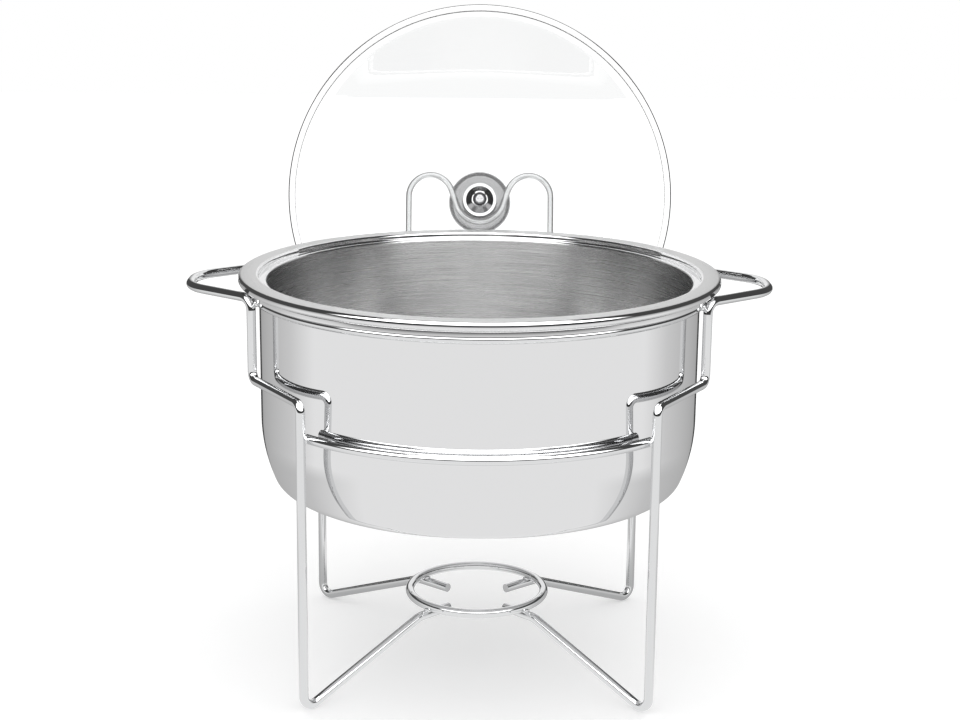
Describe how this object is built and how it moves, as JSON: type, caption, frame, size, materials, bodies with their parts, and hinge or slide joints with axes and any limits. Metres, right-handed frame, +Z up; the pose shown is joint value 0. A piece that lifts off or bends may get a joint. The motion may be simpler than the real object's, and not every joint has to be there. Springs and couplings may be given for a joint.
{
  "type": "chafing dish",
  "caption": "Round chafing dish: nested steel food and water pans in a chromed wire stand with handles and burner ring, domed glass lid parked on a wire rest behind.",
  "frame": {"origin": "on the table, under the vertical axis of the pans and of the stand's rings", "axes": "+Z up along the axis of the pans; -Y to the side the dish is served from, away from the lid rest; +X to the right seen from there"},
  "size_m": [0.4082, 0.4336, 0.4527],
  "materials": {
    "chrome_wire": "bright chrome plated round wire",
    "polished_steel": "mirror polished stainless steel",
    "satin_steel": "satin inside and rim, polished skirt, spun stainless steel",
    "clear_glass": "clear, polished",
    "band_steel": "rolled band, half bright",
    "gasket_rubber": "matte black",
    "fixing_steel": "plated screw and washer",
    "knob_brass": "turned, hidden inside the knob"
  },
  "bodies": {
    "stand": {"right_side_wire": "chrome_wire", "left_side_wire": "chrome_wire", "pan_support_ring": "chrome_wire", "front_belt_arc": "chrome_wire", "rear_belt_arc": "chrome_wire", "burner_ring": "chrome_wire", "lid_rest_wire": "chrome_wire"},
    "water_pan": {"water_pan": "polished_steel"},
    "food_pan": {"food_pan": "satin_steel"},
    "lid": {"lid_glass": "clear_glass", "lid_rim_band": "band_steel", "inner_gasket": "gasket_rubber", "outer_gasket": "gasket_rubber", "inner_cup_washer": "polished_steel", "screw_washer": "fixing_steel", "knob_screw": "fixing_steel", "knob_insert": "knob_brass", "knob_stem": "polished_steel", "knob_underside": "polished_steel", "knob_cap": "polished_steel"}
  },
  "joints": [
    {"name": "water_pan_lift", "type": "slide", "parent": "stand", "child": "water_pan", "axis": [0, 0, 1], "range_m": [0, 0.15]},
    {"name": "food_pan_lift", "type": "slide", "parent": "water_pan", "child": "food_pan", "axis": [0, 0, 1], "range_m": [0, 0.11]},
    {"name": "lid_lift", "type": "slide", "parent": "stand", "child": "lid", "axis": [0, 0.2756, 0.9613], "range_m": [0, 0.16]}
  ]
}
